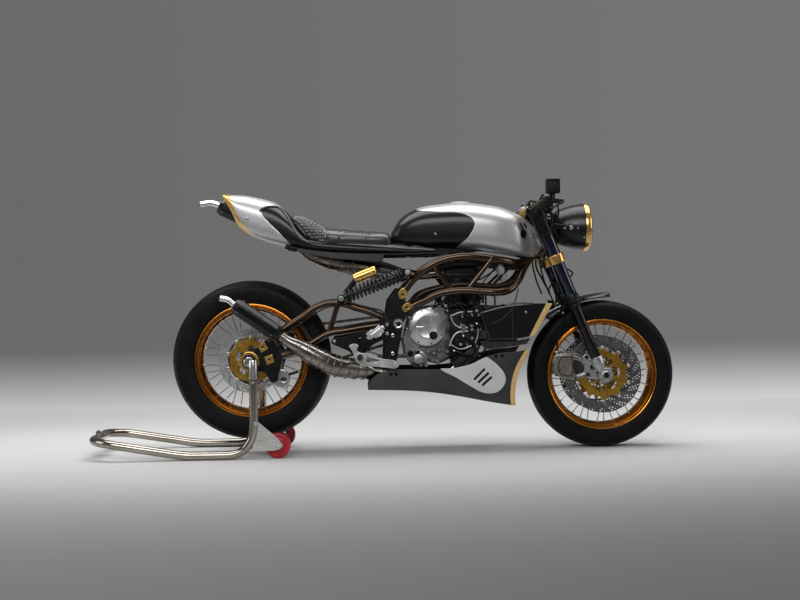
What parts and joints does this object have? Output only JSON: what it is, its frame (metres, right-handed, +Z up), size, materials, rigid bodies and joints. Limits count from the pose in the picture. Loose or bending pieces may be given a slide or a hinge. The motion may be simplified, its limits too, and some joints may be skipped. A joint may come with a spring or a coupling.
{
  "type": "cafe racer motorcycle on paddock stand",
  "caption": "Cafe racer motorcycle with tubular frame, V engine, wire wheels and tail-mounted silencer, held by its rear axle on a wheeled paddock stand.",
  "frame": {"origin": "on the floor under the middle of the bounding box", "axes": "+X forward, +Y to the motorcycle's left, +Z up"},
  "size_m": [2.3598, 0.7224, 1.0845],
  "materials": {
    "bronze_frame": "satin metallic bronze",
    "black_metal": "satin black",
    "gold_anodised": "gold anodised",
    "rim_gold": "orange-gold anodised",
    "cast_aluminium": "cast and machined",
    "satin_silver": "satin silver paint",
    "raw_steel": "raw welded steel",
    "silencer_black": "matt black",
    "fork_blue": "gloss blue-black",
    "tyre_rubber": "treaded rubber",
    "grip_rubber": "grey rubber",
    "seat_leather": "black stitched leather",
    "gloss_black": "gloss black",
    "pan_grey": "satin dark grey",
    "lens_glass": "clear domed glass",
    "disc_steel": "ground steel",
    "chain_steel": "oiled steel",
    "stand_steel": "brushed steel",
    "caster_red": "red plastic"
  },
  "bodies": {
    "chassis": {"main_frame": "bronze_frame", "pivot_plate_right": "black_metal", "pivot_plate_left": "black_metal", "swingarm": "bronze_frame", "axle_carrier_right": "black_metal", "axle_carrier_left": "black_metal", "rear_axle": "cast_aluminium", "swingarm_pivot": "cast_aluminium", "crankcase": "cast_aluminium", "clutch_cover": "cast_aluminium", "front_cylinder": "cast_aluminium", "rear_cylinder": "cast_aluminium", "carburettors": "cast_aluminium", "radiator": "black_metal", "radiator_shroud": "gloss_black", "belly_pan": "pan_grey", "exhaust_lower": "raw_steel", "silencer_lower": "silencer_black", "exhaust_upper": "raw_steel", "silencer_upper": "silencer_black", "fuel_tank": "satin_silver", "seat": "seat_leather", "tail_cowl": "satin_silver", "subframe": "black_metal", "shock_right": "gold_anodised", "shock_left": "gold_anodised", "rearset_right": "black_metal", "rearset_left": "black_metal", "rear_caliper": "cast_aluminium", "chain": "chain_steel", "stand_frame": "stand_steel"},
    "steering": {"triple_clamps": "gold_anodised", "fork_leg_right": "fork_blue", "fork_leg_left": "fork_blue", "handlebar_right": "grip_rubber", "handlebar_left": "grip_rubber", "brake_lever": "black_metal", "clutch_lever": "black_metal", "headlight": "gloss_black", "headlight_ring": "gold_anodised", "headlight_lens": "lens_glass", "front_fender": "gloss_black", "front_caliper_right": "cast_aluminium", "front_caliper_left": "cast_aluminium", "front_axle": "cast_aluminium"},
    "front_wheel_body": {"front_tyre": "tyre_rubber", "front_wheel": "rim_gold", "front_disc_right": "disc_steel", "front_disc_left": "disc_steel"},
    "rear_wheel_body": {"rear_tyre": "tyre_rubber", "rear_wheel": "rim_gold", "rear_disc": "disc_steel", "rear_sprocket": "disc_steel"},
    "stand_wheel_right_body": {"stand_wheel_right": "caster_red"},
    "stand_wheel_left_body": {"stand_wheel_left": "caster_red"}
  },
  "joints": [
    {"name": "steering_turn", "type": "hinge", "parent": "chassis", "child": "steering", "pos_m": [0.62419, 0, 0.84726], "axis": [-0.3665, 0, 0.9304], "range_deg": [-27, 27]},
    {"name": "front_wheel_spin", "type": "hinge", "parent": "steering", "child": "front_wheel_body", "pos_m": [0.88, 0, 0.3], "axis": [0, 1, 0], "continuous": true},
    {"name": "rear_wheel_spin", "type": "hinge", "parent": "chassis", "child": "rear_wheel_body", "pos_m": [-0.54, 0, 0.379], "axis": [0, 1, 0], "continuous": true},
    {"name": "stand_wheel_right_spin", "type": "hinge", "parent": "chassis", "child": "stand_wheel_right_body", "pos_m": [-0.431, -0.16, 0.05], "axis": [0, 1, 0], "continuous": true},
    {"name": "stand_wheel_left_spin", "type": "hinge", "parent": "chassis", "child": "stand_wheel_left_body", "pos_m": [-0.431, 0.16, 0.05], "axis": [0, 1, 0], "continuous": true}
  ]
}
